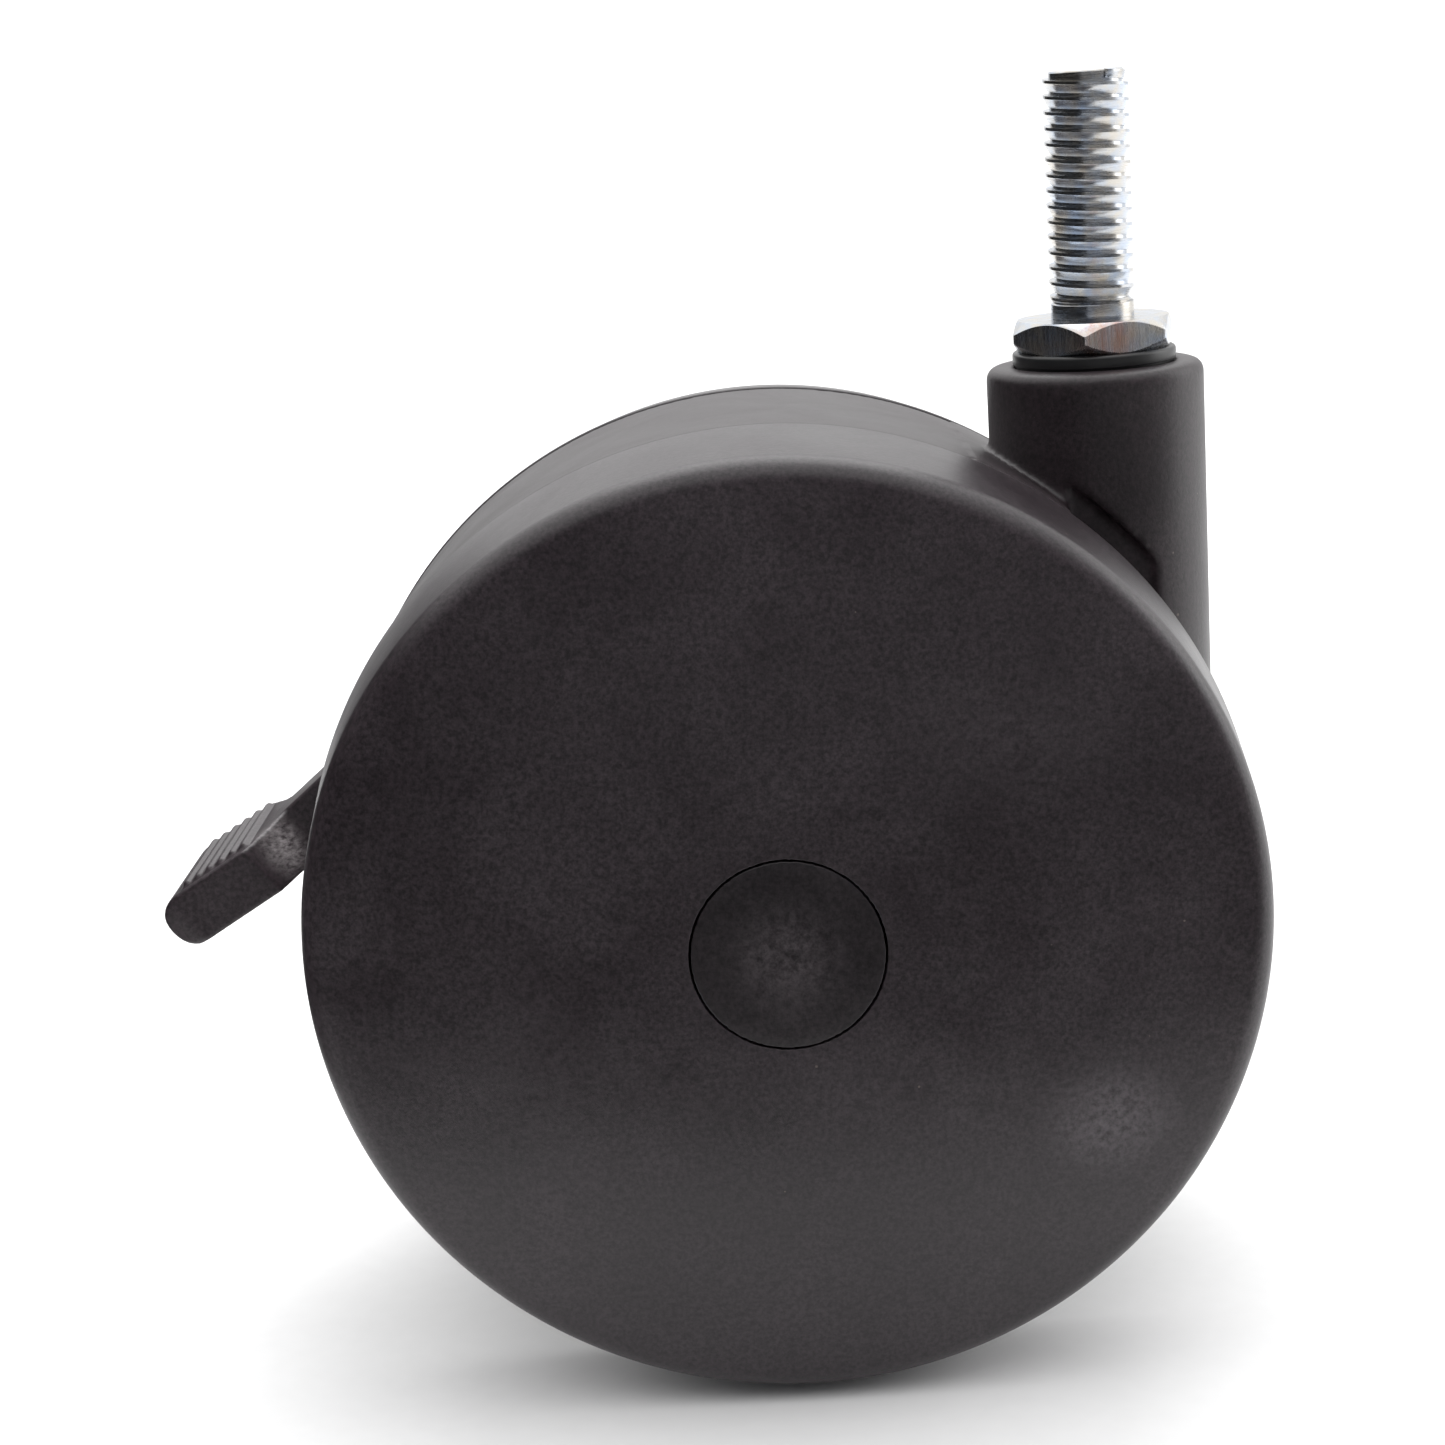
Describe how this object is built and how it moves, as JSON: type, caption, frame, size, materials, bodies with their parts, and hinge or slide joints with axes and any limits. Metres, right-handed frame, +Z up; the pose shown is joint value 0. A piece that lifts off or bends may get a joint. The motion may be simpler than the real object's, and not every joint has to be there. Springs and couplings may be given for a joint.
{
  "type": "threaded-stem twin-wheel caster",
  "caption": "Hooded twin-wheel swivel caster with a threaded stem, hexagon seat and a foot pedal that locks both wheels.",
  "frame": {"origin": "on the stem axis at the seating face of the hexagon, where the thread starts", "axes": "+Z up along the thread, Y along the axle, the wheels trail towards -X"},
  "size_m": [0.117, 0.0708, 0.1324],
  "materials": {
    "wheel_plastic": "matte moulded nylon",
    "cap_plastic": "matte moulded nylon",
    "housing_plastic": "fine textured moulded nylon",
    "pedal_plastic": "satin moulded nylon",
    "bush_plastic": "smooth black acetal",
    "acetal": "natural acetal",
    "zinc_steel": "bright zinc plate",
    "spring_steel": "oiled spring steel"
  },
  "bodies": {
    "stem": {"threaded_stem": "zinc_steel", "stem_thrust_washer": "bush_plastic", "stem_lower_washer": "zinc_steel", "stem_retaining_ring": "spring_steel"},
    "housing": {"housing": "housing_plastic", "upper_stem_bush": "bush_plastic", "lower_stem_bush": "bush_plastic", "axle": "zinc_steel", "front_inner_washer": "acetal", "front_outer_washer": "zinc_steel", "front_push_nut": "spring_steel", "rear_inner_washer": "acetal", "rear_outer_washer": "zinc_steel", "rear_push_nut": "spring_steel", "pedal_pivot_pin": "zinc_steel", "pedal_hold_spring": "spring_steel"},
    "front_wheel": {"front_wheel": "wheel_plastic", "front_wheel_bush": "acetal", "front_hub_cap": "cap_plastic"},
    "rear_wheel": {"rear_wheel": "wheel_plastic", "rear_wheel_bush": "acetal", "rear_hub_cap": "cap_plastic"},
    "pedal": {"brake_pedal": "pedal_plastic"},
    "locking_bar": {"locking_bar": "zinc_steel"}
  },
  "joints": [
    {"name": "swivel", "type": "hinge", "parent": "stem", "child": "housing", "pos_m": [0, 0, 0], "axis": [0, 0, 1], "continuous": true},
    {"name": "front_wheel_spin", "type": "hinge", "parent": "housing", "child": "front_wheel", "pos_m": [-0.0363, 0, -0.057], "axis": [0, 1, 0], "continuous": true},
    {"name": "rear_wheel_spin", "type": "hinge", "parent": "housing", "child": "rear_wheel", "pos_m": [-0.0363, 0, -0.057], "axis": [0, 1, 0], "continuous": true},
    {"name": "pedal_press", "type": "hinge", "parent": "housing", "child": "pedal", "pos_m": [-0.07167, 0, -0.03642], "axis": [0, -1, 0], "range_deg": [0, 18.5]},
    {"name": "locking_bar_slide", "type": "slide", "parent": "housing", "child": "locking_bar", "axis": [-0.7071, 0, 0.7071], "range_m": [0, 0.0034]}
  ],
  "couplings": [
    {"joint": "locking_bar_slide", "follows": "pedal_press", "m_per_rad": 0.01052}
  ]
}
